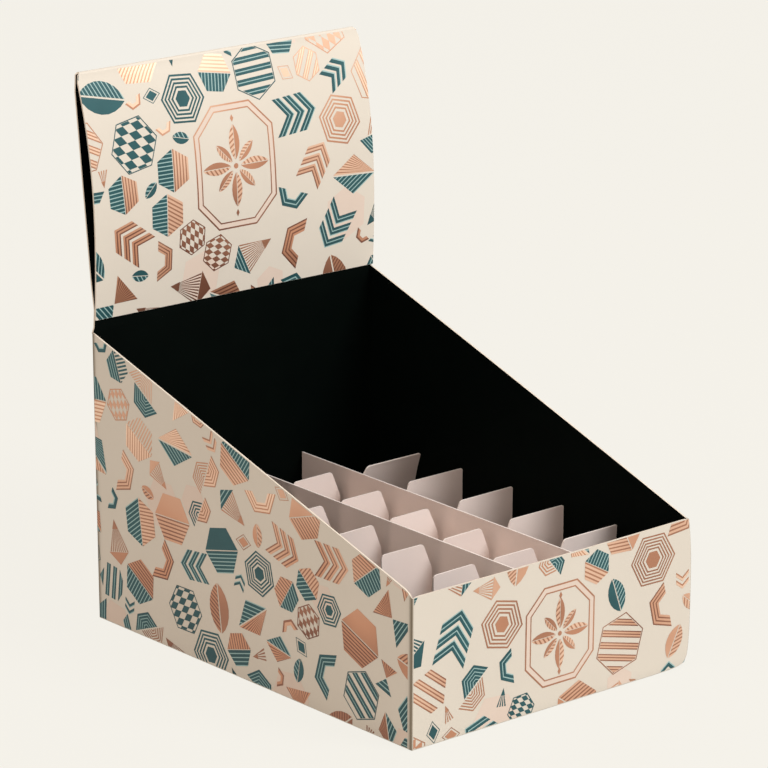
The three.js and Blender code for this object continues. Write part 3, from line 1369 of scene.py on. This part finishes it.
    def ticks(self) -> Figure:
        """A pair of small arrow heads."""
        return self.slanted(-0.2, 0.4, 0.7) + self.slanted(0.5, 0.4, 0.7)


@dataclass
class Emblem:
    """A double frame with cut corners round a rosette of eight leaves, in foil."""

    centre: tuple[float, float]
    half_width: float
    half_height: float
    line: float = 0.42
    gap: float = 1.9
    corner_cut: float = 0.52
    cut_change: float = 0.59
    rosette: float = 0.64
    heart: float = 0.36
    leaf_width: float = 0.36
    long_leaf: float = 1.12
    short_leaf: float = 0.84
    drop_size: float = 1.2
    drop_place: float = 0.76

    def clears(self, spot: np.ndarray, radius: float) -> bool:
        """Whether a circle stays off the frame."""
        away = np.abs(spot - np.array(self.centre)) - [self.half_width, self.half_height]
        return bool(away.max() > radius)

    def octagon(self, inset: float) -> np.ndarray:
        """The frame's outline, moved in by inset.

        Args:
            inset: how far, in millimetres.

        Returns:
            Its eight corners, counterclockwise.
        """
        a, b = self.half_width - inset, self.half_height - inset
        cut = self.corner_cut * self.half_width - self.cut_change * inset
        right = np.array([[a - cut, -b], [a, -b + cut], [a, b - cut], [a - cut, b]])
        return np.concatenate([right, -right]) + np.array(self.centre)

    def ring(self, inset: float, line: float, tone: float) -> Polygons:
        """A line of the frame, as wide as line and in a tone."""
        outer, inner = self.octagon(inset), self.octagon(inset + line)
        quads = np.stack([outer, np.roll(outer, -1, 0), np.roll(inner, -1, 0), inner], 1)
        return Polygons.of(quads, tone)

    def figure(self, dark: float = -0.2, tint: float = 0.5) -> Figure:
        """The whole emblem: the frame with a tint between its lines, and the rosette.

        Args:
            dark: the tone of the solid foil.
            tint: the tone of the tint.

        Returns:
            The emblem.
        """
        middle = np.array(self.centre)
        shapes = [self.ring(0.0, self.line * 1.2, -0.22), self.ring(self.gap, self.line, -0.22)]
        size = self.half_width * self.rosette / 2
        outline = leaf_outline(self.leaf_width)
        side = np.array([1.0, 0.0])
        veins = FigureMaker(np.random.default_rng(0), size).ruled(outline, FOIL_LINES, math.radians(35))
        solid = Polygons.of(outline[None], dark).clip(-side, -0.02)
        petal = Polygons.join([solid, *[p.clip(side, -0.02) for _, p in veins]])
        for k in range(8):
            turn = k * math.pi / 4
            reach = self.short_leaf if k % 2 else self.long_leaf
            away = np.array([-math.sin(turn), math.cos(turn)]) * size * (reach + self.heart)
            shapes.append(petal.placed(middle + away, size * reach, turn))
        shapes.append(Polygons.of((regular(8, size * self.heart * 0.5) + middle)[None], dark))
        for sign in (-1, 1):
            spot = middle + [0.0, sign * self.half_height * self.drop_place]
            shapes.append(Polygons.of((lozenge_outline(0.55) * self.drop_size + spot)[None], dark))
        return [(InkName.BLUSH, self.ring(0.1, self.gap, tint)), (InkName.COPPER, Polygons.join(shapes))]


@dataclass
class Panel:
    """One printed face: its outline in millimetres and the map from it into space.

    Its tones with painted light are the tones at the panel's foot and at its top, painted reflection on the
    foil and painted light on the inks; slices are the places at which figures are cut so that they can
    follow a bend, and a mirrored panel's map turns its figures over. Kinds of circle are given by their
    least and greatest radius and their number in each round of sizes.
    """

    outline: np.ndarray
    place: Callable[[np.ndarray, float], np.ndarray]
    seed: int
    tones_with_painted_light: tuple[float, float]
    mirrored: bool = False
    emblem: Emblem | None = None
    slices: tuple[Sequence[float], Sequence[float]] = ((), ())
    kinds: tuple[tuple[float, float, int], ...] = ((7.6, 9.6, 5), (5.6, 7.2, 3), (3.0, 4.2, 3))
    fill: float = 0.88
    border: float = 8.0
    gap: float = 0.15
    rounds: int = 500
    overhang: float = 0.35
    least_gap: float = -0.25
    frame_circles: int = 7
    frame_room: float = 1.7
    small_radius: float = 4.4
    paler: float = 0.12
    tint_share: float = 0.1
    tint_shift: tuple[float, float] = (0.5, 0.4)

    def scatter(self) -> tuple[np.ndarray, np.ndarray]:
        """Places circles of mixed sizes so that they lie close together and hardly touch.

        They start at random. In each round every two that are closer than their radii and the gap
        are moved apart along the line between them, each by half of what is missing, and the
        emblem's own row of circles stays where it is.

        Returns:
            The centres (n, 2) and the radii (n).
        """
        rng = np.random.default_rng(self.seed)
        low, high = self.outline.min(0), self.outline.max(0)
        fixed, held = np.zeros((0, 2)), np.zeros(0)
        if self.emblem:
            rise = np.linspace(-1, 1, self.frame_circles)
            rise *= self.emblem.half_height - self.emblem.half_width
            fixed = np.array(self.emblem.centre) + np.stack([np.zeros(len(rise)), rise], -1)
            held = np.full(len(rise), self.emblem.half_width + self.frame_room)
        room = float(np.prod(high - low + self.border)) - np.pi * float((held[:1] ** 2).sum())
        sizes = np.concatenate([rng.uniform(*kind) for kind in self.kinds])
        count = int(self.fill * room / (np.pi * float((sizes**2).mean())))
        radii = np.sort(np.resize(sizes, count) * rng.uniform(0.94, 1.06, count))[::-1]
        spots = rng.uniform(low, high, (count, 2))
        everyone = np.concatenate([radii, held])
        for _ in range(self.rounds):
            others = np.concatenate([spots, fixed])
            away = spots[:, None] - others[None]
            apart = np.linalg.norm(away, axis=-1) + 1e-6
            missing = np.clip(radii[:, None] + everyone[None] + self.gap - apart, 0, None)
            missing[np.arange(count), np.arange(count)] = 0
            share = np.where(np.arange(len(everyone)) < count, 0.5, 1.0)
            spots = spots + (away / apart[..., None] * (missing * share)[..., None]).sum(1)
            reach = self.overhang * radii[:, None]
            spots = np.clip(spots, low - reach, high + reach)
        kept: list[int] = []
        for k in range(count):
            before = np.array([*kept, *range(count, len(everyone))], int)
            room_left = apart[k, before] - radii[k] - everyone[before]
            if not len(before) or room_left.min() > self.least_gap:
                kept.append(k)
        return spots[kept], radii[kept]

    def figures(self) -> dict[InkName, Polygons]:
        """Every figure of the panel, cut to its outline, by ink.

        Returns:
            The polygons of each ink.
        """
        rng = np.random.default_rng(self.seed + 1000)
        maker = FigureMaker(rng)
        gathered: dict[InkName, list[Polygons]] = {ink: [] for ink in InkName}
        figures: dict[InkName, Polygons] = {}
        for centre, radius in zip(*self.scatter()):
            small = radius < self.small_radius
            kinds = SMALL if small else LARGE
            motif = kinds[int(rng.integers(len(kinds)))]
            turn = float(rng.uniform(0, 2 * np.pi))
            # Each figure's tone shifts at random; on the foil this is painted reflection that differs from
            # figure to figure.
            paler = float(rng.uniform(-self.paler, self.paler))
            for ink, shapes in maker.draw(motif, radius):
                gathered[ink].append(shapes.placed(centre, radius, turn, paler))
            if not small and rng.random() < self.tint_share:
                beside = centre + np.array(self.tint_shift) * radius
                if self.emblem is None or self.emblem.clears(beside, radius):
                    tint = Polygons.of(regular(6)[None]).placed(beside, radius, turn)
                    gathered[InkName.BLUSH].append(tint)
        if self.emblem:
            for ink, shapes in self.emblem.figure():
                gathered[ink].append(shapes)
        order = -1 if self.mirrored else 1
        for ink, parts in gathered.items():
            kept = Polygons.join(parts).within(self.outline)
            kept = kept.sliced(self.slices[0], 0).sliced(self.slices[1], 1).sound()
            figures[ink] = Polygons(kept.points[:, ::order], kept.tone)
        return figures

    def painted_light_at(self, uv: np.ndarray) -> np.ndarray:
        """The painted light at a place: a tone from the one at the panel's foot to the one at its top,
        painted reflection on the foil and painted light on the inks.
        """
        low, high = self.outline[:, 1].min(), self.outline[:, 1].max()
        return np.interp(uv[:, 1], [low, high], self.tones_with_painted_light)


@dataclass
class Print:
    """The print: thin layers of foil and ink on the board's outside."""

    form: CartonForm
    lift: dict[InkName, float] = field(default_factory=lambda: {
        InkName.BLUSH: 0.03, InkName.MIST: 0.04, InkName.TEAL: 0.045, InkName.COPPER: 0.05})
    edge_margin: float = 0.55
    foot_margin: float = 0.45
    top_margin: float = 0.25
    hem_margin: float = 0.05
    side_margin: float = 0.04

    def side(self, sign: int) -> Callable[[np.ndarray, float], np.ndarray]:
        """The map of a side wall: (y, z) to its outside, raised by a height.

        Args:
            sign: 1 for the right wall, -1 for the left one.

        Returns:
            The map.
        """

        def place(uv: np.ndarray, raised: float) -> np.ndarray:
            """Points on the wall."""
            x = np.full(len(uv), sign * self.form.half_width)
            bent = self.form.bend(np.column_stack([x, uv]))
            return bent + [sign * raised, 0.0, 0.0]

        return place

    def front(self, uv: np.ndarray, raised: float) -> np.ndarray:
        """The map of the front wall: (x, z) to its outside, raised by a height."""
        y = np.full(len(uv), -self.form.back)
        return self.form.bend(np.column_stack([uv[:, 0], y, uv[:, 1]])) - [0.0, raised, 0.0]

    def header(self, uv: np.ndarray, raised: float) -> np.ndarray:
        """The map of the header's front layer: (x, z) to its outside, raised by a height.

        The outside lies half the board's thickness and the height away from the board's middle,
        along the normal, which follows from the slope of y over z.

        Args:
            uv: places (n, 2) on the panel.
            raised: the height.

        Returns:
            The places in space.
        """
        form, step = self.form, 0.01
        z = uv[:, 1]
        x = uv[:, 0] * form.header_half(z) / (form.half_width + form.header_overhang)
        slope = (form.header_front_y(z + step) - form.header_front_y(z - step)) / (2 * step)
        away = (form.board / 2 + raised) / np.sqrt(1 + slope**2)
        up = z + away * slope + form.header_shift(x)
        return form.bend(np.stack([x, form.header_front_y(z) - away, up], -1))

    def back(self, uv: np.ndarray, raised: float) -> np.ndarray:
        """The map of the back wall and the header's back: (x, z) to its outside, raised.

        Args:
            uv: places (n, 2) on the panel.
            raised: the height.

        Returns:
            The places in space.
        """
        form = self.form
        x, z = uv[:, 0], uv[:, 1]
        share = np.clip((z - form.lean_start) / (form.fold_centre_z - form.lean_start), 0, 1)
        y = form.header_back_y(z) + form.board / 2 + raised
        return form.bend(np.stack([x, y, z + form.header_shift(x) * share], -1))

    def panels(self) -> list[Panel]:
        """The printed faces.

        Returns:
            Left, right, front, header and back.
        """
        form = self.form
        half, back, low = form.half_width, form.back, self.foot_margin
        side, top = half - self.edge_margin, form.front_height - self.top_margin
        ends = -back + form.front_corner_run + 0.2, back - self.edge_margin

        def wall(sign: int) -> np.ndarray:
            """A side wall's outline."""
            tops = form.wall_top(np.array(sign * half), np.array(ends)) - self.top_margin
            return np.array([[ends[0], low], [ends[1], low], [ends[1], tops[1]], [ends[0], tops[0]]])

        wide = half + form.header_overhang - self.side_margin
        zs = form.header_zs()
        header = rectangle(-wide, zs[0] + self.hem_margin, wide, zs[-1])
        rear = rectangle(-side, low, side, form.fold_centre_z - 0.5)
        bulge = (np.arange(-back, -back + 30.0, 4.0), np.arange(3.0, form.front_height + 12.0, 3.0))
        front_emblem = Emblem((2.6, 23.2), 14.0, 16.0)
        header_emblem = Emblem((0.0, 138.0), 16.0, 19.8)
        return [
            Panel(wall(-1), self.side(-1), 11, (0.12, 0.78), mirrored=True),
            Panel(wall(1), self.side(1), 12, (0.2, 0.7), slices=bulge),
            Panel(rectangle(-side, low, side, top), self.front, 31, (0.5, 0.56), emblem=front_emblem),
            Panel(header, self.header, 57, (0.14, 0.93), emblem=header_emblem, slices=((), zs[1:-1])),
            Panel(rear, self.back, 15, (0.2, 0.8), mirrored=True, slices=((), (form.lean_start,))),
        ]

    def build(self) -> None:
        """Makes one layer for each ink over all the panels."""
        printed = [(panel, panel.figures()) for panel in self.panels()]
        finishes = {InkName.COPPER: COPPER, InkName.TEAL: TEAL, InkName.MIST: MIST, InkName.BLUSH: BLUSH}
        for ink, finish in finishes.items():
            points, tones_with_painted_light, counts = [], [], []
            for panel, figures in printed:
                flat, tone, count = figures[ink].laid_out()
                points.append(panel.place(flat, self.lift[ink]))
                # Each point's tone is the print's own plus painted light rising from the panel's foot to
                # its top, a painted reflection on the foil.
                tones_with_painted_light.append(tone + panel.painted_light_at(flat))
                counts.append(count)
            mesh = mesh_of_runs(ink.value, np.concatenate(points), np.concatenate(counts))
            tone = mesh.attributes.new("tone", "FLOAT", "POINT")
            tone.data.foreach_set("value", np.clip(np.concatenate(tones_with_painted_light), 0, 1).astype(np.float32))
            mesh.materials.append(finish.make())
            add_to_scene(mesh)


# The insert


def rounded(corners: Sequence[Sequence[float]], radii: Sequence[float], steps: int = 4) -> np.ndarray:
    """An outline with its corners rounded by arcs that touch both edges.

    Args:
        corners: the sharp corners (n, 2), counterclockwise.
        radii: the radius at each corner, 0 for a sharp one.
        steps: how many edges an arc has.

    Returns:
        The outline's points.
    """
    points = np.asarray(corners, float)
    rounded_points = []
    for before, here, after, radius in zip(np.roll(points, 1, 0), points, np.roll(points, -1, 0), radii):
        if radius <= 0:
            rounded_points.append(here[None])
            continue
        inward = (before - here) / np.linalg.norm(before - here)
        outward = (after - here) / np.linalg.norm(after - here)
        half = math.acos(float(np.clip(inward @ outward, -1, 1))) / 2
        centre = here + (inward + outward) / np.linalg.norm(inward + outward) * radius / math.sin(half)
        start = here + inward * radius / math.tan(half) - centre
        end = here + outward * radius / math.tan(half) - centre
        swing = math.atan2(start[0] * end[1] - start[1] * end[0], start @ end)
        angle = math.atan2(start[1], start[0]) + np.linspace(0, swing, steps + 1)
        rounded_points.append(centre + radius * np.stack([np.cos(angle), np.sin(angle)], -1))
    return np.concatenate(rounded_points)


@dataclass
class Insert:
    """The seven cards of the insert, each in place of its plain solid, their tabs a little bent."""

    form: CartonForm
    clearance: float = 0.3
    throat: float = 2.2
    funnel_depth: float = 8.5
    funnel_run: float = 3.6
    middle_bevel: float = 1.6
    tab_radius: float = 1.4
    wall_tab_radius: float = 0.56
    neck_radius: float = 5.0
    spacing: float = 4.0
    split_angle: float = 40.0
    lean: float = 0.7
    twist: float = 0.5
    last_tab_lean: float = -3.0
    seed: int = 5

    def card(
        self, node: str, parts: list[np.ndarray], place: Callable[[np.ndarray], np.ndarray],
        thickness: float, materials: Sequence[bpy.types.Material],
    ) -> None:
        """Makes one card from the convex parts of its outline.

        Args:
            node: the plain solid that it replaces.
            parts: the parts (n, 2), which meet edge to edge.
            place: the map from the card's plane into space.
            thickness: of the card.
            materials: the faces' finish and the cut edge's.
        """
        corners = np.concatenate(parts)
        levels = [
            np.arange(low + self.spacing, high - 0.5, self.spacing)
            for low, high in zip(corners.min(0), corners.max(0))
        ]
        sides = np.concatenate([[part[:, 0].min(), part[:, 0].max()] for part in parts[1:]])
        shapes = Polygons.join([Polygons.of(part[None]) for part in parts])
        columns = np.unique(np.round(np.concatenate([levels[0], sides]), 4))
        shapes = shapes.sliced(columns, 0).sliced(levels[1], 1).sound()
        flat, _, counts = shapes.laid_out()
        mesh = mesh_of_runs(f"{node}_dressed", place(flat), counts)
        for material in materials:
            mesh.materials.append(material)
        mend(mesh, 2e-6)
        piece = add_to_scene(mesh)
        solid = piece.modifiers.new("card", "SOLIDIFY")
        solid.thickness = thickness * MM
        solid.offset = 0.0
        solid.material_offset_rim = 1
        edges = piece.modifiers.new("edges", "EDGE_SPLIT")
        edges.split_angle = math.radians(self.split_angle)
        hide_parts(node)

    def cross_parts(
        self, low: np.ndarray, high: np.ndarray, longs: Sequence[float], slot_end: float
    ) -> list[np.ndarray]:
        """A cross card's parts: the strip below its slots and the tabs between them.

        Args:
            low: the card's lowest corner in (x, z).
            high: its highest corner.
            longs: the long cards' places across the box.
            slot_end: height of the slots' ends.

        Returns:
            The convex parts.
        """
        near = self.form.board / 2 + self.clearance
        wide = near + self.throat
        top, neck = high[1], high[1] - self.funnel_depth
        starts = [low[0], *[x + near for x in longs[:-1]], longs[-1] + wide]
        ends = [*[x - wide for x in longs], high[0]]
        run, bevel, radius = self.funnel_run, self.middle_bevel, self.tab_radius
        parts = [rectangle(*low, high[0], slot_end)]
        for k, (start, end) in enumerate(zip(starts, ends)):
            right = [(end, neck, self.neck_radius), (end - run, top, radius)]
            left = [(start + bevel, top, radius), (start, top - bevel, radius)]
            if k == 0:
                left = [(start, top, radius)]
            if k == len(longs):
                right = [(end, top, self.wall_tab_radius)]
                left = [(start + run, top, radius), (start, neck, self.neck_radius)]
            corners = np.array([(start, slot_end, 0.0), (end, slot_end, 0.0), *right, *left])
            parts.append(rounded(corners[:, :2], corners[:, 2]))
        return parts

    def long_parts(
        self, low: np.ndarray, high: np.ndarray, rows: Sequence[float], slot_end: float
    ) -> list[np.ndarray]:
        """A long card's parts: the strip above its slots and the legs between them.

        Args:
            low: the card's lowest corner in (y, z).
            high: its highest corner.
            rows: the cross cards' places along the box.
            slot_end: height of the slots' ends.

        Returns:
            The convex parts.
        """
        near = self.form.board / 2 + self.clearance
        starts = [low[0], *[y + near for y in rows]]
        ends = [*[y - near for y in rows], high[0]]
        legs = [rectangle(start, low[1], end, slot_end) for start, end in zip(starts, ends)]
        return [rectangle(low[0], slot_end, *high), *legs]

    def build(self) -> None:
        """Makes all the cards where the plain ones stand."""
        rng = np.random.default_rng(self.seed)
        materials = [INSERT.make(), INSERT_EDGE.make()]
        longs = {name: np.array(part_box(name)) / MM for name in LONG_CARDS}
        crosses = {name: np.array(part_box(name)) / MM for name in CROSS_CARDS}
        middle_x = [float(low[0] + high[0]) / 2 for low, high in longs.values()]
        middle_y = [float(low[1] + high[1]) / 2 for low, high in crosses.values()]
        for (name, (low, high)), x in zip(longs.items(), middle_x):
            slot_end = (low[2] + high[2] + self.clearance) / 2
            parts = self.long_parts(low[1:], high[1:], middle_y, slot_end)
            self.card(name, parts, self.upright(x), high[0] - low[0], materials)
        for (name, (low, high)), y in zip(crosses.items(), middle_y):
            slot_end = (low[2] + high[2] - self.clearance) / 2
            parts = self.cross_parts(low[[0, 2]], high[[0, 2]], middle_x, slot_end)
            leans = rng.uniform(-1, 1, (len(middle_x) + 1, 2)) * [self.lean, self.twist]
            if name == CROSS_CARDS[-1]:
                leans[-1, 0] = self.last_tab_lean
            place = self.bent(y, slot_end, high[2], middle_x, leans)
            self.card(name, parts, place, high[1] - low[1], materials)

    def upright(self, x: float) -> Callable[[np.ndarray], np.ndarray]:
        """The map of a long card: (y, z) to its plane.

        Args:
            x: where the card stands.

        Returns:
            The map.
        """

        def place(uv: np.ndarray) -> np.ndarray:
            """Points in the plane."""
            return np.column_stack([np.full(len(uv), x), uv])

        return place

    def bent(
        self, y: float, low: float, high: float, longs: Sequence[float], leans: np.ndarray
    ) -> Callable[[np.ndarray], np.ndarray]:
        """The map of a cross card: (x, z) to its plane, each tab bent above its slots.

        With h the share of the way up the tab, a tab is moved along Y by h squared times its lean
        plus its twist times the place across it.

        Args:
            y: where the card stands.
            low: height of the slots' ends.
            high: height of the card's top.
            longs: the long cards' places across the box.
            leans: each tab's lean and twist.

        Returns:
            The map.
        """

        def place(uv: np.ndarray) -> np.ndarray:
            """Points of the bent card.

            Args:
                uv: places (n, 2) on the card.

            Returns:
                The places in space.
            """
            x, z = uv[:, 0], uv[:, 1]
            tab = np.searchsorted(longs, x)
            rise = np.clip((z - low) / (high - low), 0, 1) ** 2
            pitch = longs[1] - longs[0]
            across = (x - np.array([longs[0], *longs])[tab]) / pitch
            return np.stack([x, y + rise * (leans[tab, 0] + leans[tab, 1] * across), z], -1)

        return place


# The studio


@dataclass(frozen=True)
class Lamp:
    """A square area lamp that faces the box, its place and side in metres and its power in watts."""

    name: str
    place: tuple[float, float, float]
    side: float
    power: float
    colour: Colour
    target: tuple[float, float, float] = (0.0, 0.0, 0.06)

    def add(self) -> None:
        """Adds it to the scene."""
        data = bpy.data.lights.new(self.name, "AREA")
        data.size = self.side
        data.energy = self.power
        data.color = self.colour
        lamp = bpy.data.objects.new(self.name, data)
        lamp.location = self.place
        lamp.rotation_euler = (Vector(self.target) - Vector(self.place)).to_track_quat("-Z", "Y").to_euler()
        bpy.context.scene.collection.objects.link(lamp)


KEY = Lamp("key", (0.62, -1.35, 1.25), 0.8, 25.0, (0.92, 0.96, 1.0))
LEFT_FILL = Lamp("left_fill", (-1.4, -0.4, 1.0), 0.9, 5.7, (1.0, 0.84, 0.74))


@dataclass
class Studio:
    """Camera, lamps, floor and background.

    The camera's sizes are in millimetres and its focal length in pixels of the frame, the floor's
    side and drop in metres.
    """

    azimuth: float = -40.704
    elevation: float = 17.392
    roll: float = 0.227
    pixels_focal: float = 5069.77
    frame_pixels: float = 768.0
    sensor: float = 36.0
    distance: float = 1567.03
    aim: tuple[float, float, float] = (0.0, -0.25, 50.0)
    shift_right: float = -2.016
    shift_up: float = 32.547
    backdrop: Colour = (0.896, 0.871, 0.807)
    surround: Colour = (1.0, 0.93, 0.88)
    surround_strength: float = 0.64
    floor_size: float = 6.0
    floor_glow: float = 0.9
    glow_strength: float = 1.068
    floor_shade: float = 0.5
    floor_swing: tuple[float, float] = (0.97, 1.0)
    floor_blotch: float = 180.0
    floor_drop: float = 0.0001

    def axes(self) -> np.ndarray:
        """The camera's right, up and backward directions as rows.

        Returns:
            The three unit vectors (3, 3), turned by azimuth, elevation and roll.
        """
        a, e, r = (math.radians(v) for v in (self.azimuth, self.elevation, self.roll))
        back = np.array([math.sin(a) * math.cos(e), -math.cos(a) * math.cos(e), math.sin(e)])
        right = np.array([math.cos(a), math.sin(a), 0.0])
        up = np.cross(back, right)
        turned_up = up * math.cos(r) - right * math.sin(r)
        return np.stack([right * math.cos(r) + up * math.sin(r), turned_up, back])

    def camera(self) -> None:
        """Adds the camera at the photograph's viewing angle."""
        right, up, back = self.axes()
        place = np.array(self.aim) + right * self.shift_right + up * self.shift_up + back * self.distance
        data = bpy.data.cameras.new("camera")
        data.sensor_width = self.sensor
        data.lens = self.pixels_focal / self.frame_pixels * self.sensor
        data.clip_end = 50.0
        data.clip_start = 0.05
        camera = bpy.data.objects.new("camera", data)
        turn = Matrix(np.stack([right, up, back], 1).tolist()).to_4x4()
        camera.matrix_world = Matrix.Translation(Vector((place * MM).tolist())) @ turn
        bpy.context.scene.collection.objects.link(camera)
        bpy.context.scene.camera = camera

    def world(self) -> None:
        """Sets the soft surrounding light, shown as the plain background to camera and foil."""
        world = bpy.data.worlds.new("studio")
        bpy.context.scene.world = world
        world.use_nodes = True
        tree = world.node_tree
        tree.nodes.clear()
        light_inputs = {"Color": self.surround, "Strength": self.surround_strength}
        light = add_node(tree, "ShaderNodeBackground", {}, light_inputs)
        seen = add_node(tree, "ShaderNodeBackground", {}, {"Color": self.backdrop})
        inputs = {0: showing(tree), 1: light.outputs[0], 2: seen.outputs[0]}
        mixed = add_node(tree, "ShaderNodeMixShader", {}, inputs)
        add_node(tree, "ShaderNodeOutputWorld", {}, {0: mixed.outputs[0]})

    def floor(self) -> None:
        """Adds the plain pale floor, which runs out of sight."""
        half, level = self.floor_size / 2, -self.floor_drop
        mesh = bpy.data.meshes.new("floor")
        corners = [(-half, -half, level), (half, -half, level), (half, half, level), (-half, half, level)]
        mesh.from_pydata(corners, [], [(0, 1, 2, 3)])
        shader = Shader("pale_floor")
        grain = shader.noise(self.floor_blotch).step(*NOISE_SPAN)
        low, high = (tuple(c * k * self.floor_shade for c in self.backdrop) for k in self.floor_swing)
        shader.set(Base_Color=shader.mix(grain, low, high), Roughness=0.8, Specular_IOR_Level=0.1)
        shine = {"Color": self.backdrop, "Strength": self.glow_strength}
        glow = shader.node("ShaderNodeEmission", {}, shine)
        share = showing(shader.tree) * self.floor_glow
        inputs = {0: share, 1: shader.principled.outputs[0], 2: glow.outputs[0]}
        mixed = shader.node("ShaderNodeMixShader", {}, inputs)
        feed(shader.output.inputs["Surface"], mixed.outputs[0])
        mesh.materials.append(shader.material)
        floor = bpy.data.objects.new("floor", mesh)
        bpy.context.scene.collection.objects.link(floor)

    def build(self) -> None:
        """Sets up the whole studio."""
        self.camera()
        self.world()
        self.floor()
        KEY.add()
        LEFT_FILL.add()
        bpy.context.scene.view_settings.view_transform = "Standard"


def main() -> None:
    """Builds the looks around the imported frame."""
    logging.basicConfig(level=logging.INFO, format="%(name)s: %(message)s")
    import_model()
    low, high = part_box("carton")
    form = CartonForm(width=(high.x - low.x) / MM)
    Studio().build()
    Carton(form).build()
    Print(form).build()
    Insert(form).build()
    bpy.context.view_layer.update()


if __name__ == "__main__":
    main()
